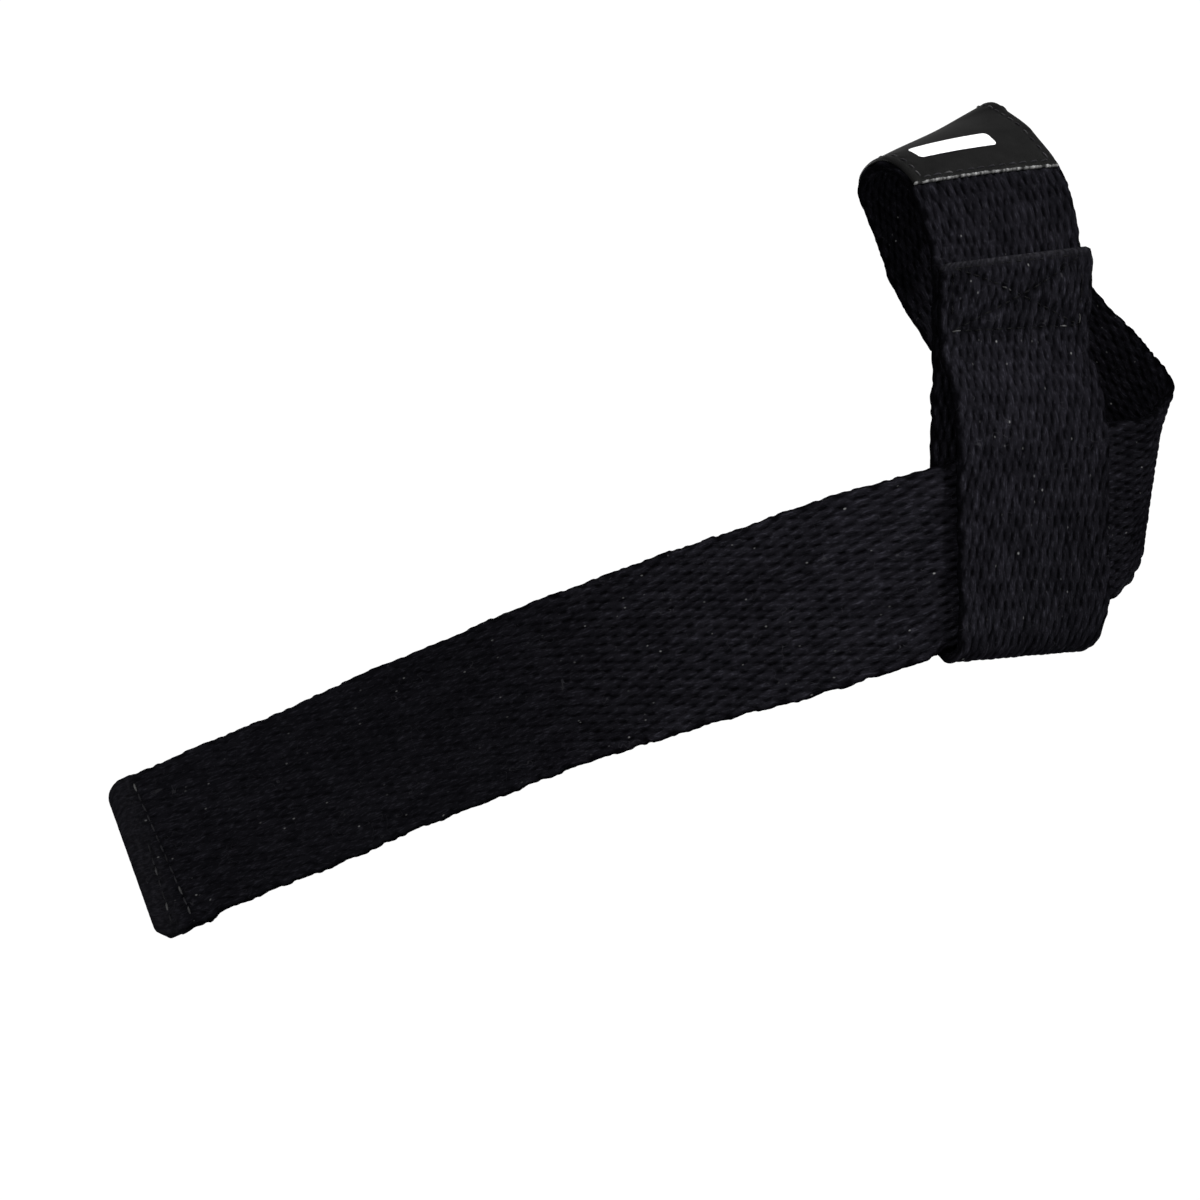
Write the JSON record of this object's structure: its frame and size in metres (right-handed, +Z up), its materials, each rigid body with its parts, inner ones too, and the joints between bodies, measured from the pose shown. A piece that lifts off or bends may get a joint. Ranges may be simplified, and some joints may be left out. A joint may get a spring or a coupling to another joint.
{
  "type": "lifting strap",
  "caption": "Black cotton lifting strap of the lasso kind, wound round an open wrist space, its free end drawn through its own sewn eye, with a plain label.",
  "frame": {"origin": "the middle of the open space that the wrist goes through", "axes": "+Z up as worn in the picture, +X right towards the outer side of the wrist and away from the free end, +Y away from the viewer"},
  "size_m": [0.2365, 0.0654, 0.1855],
  "materials": {
    "webbing": "matte",
    "label": "satin"
  },
  "bodies": {
    "root": {"strap": "webbing", "label": "label"}
  },
  "joints": []
}
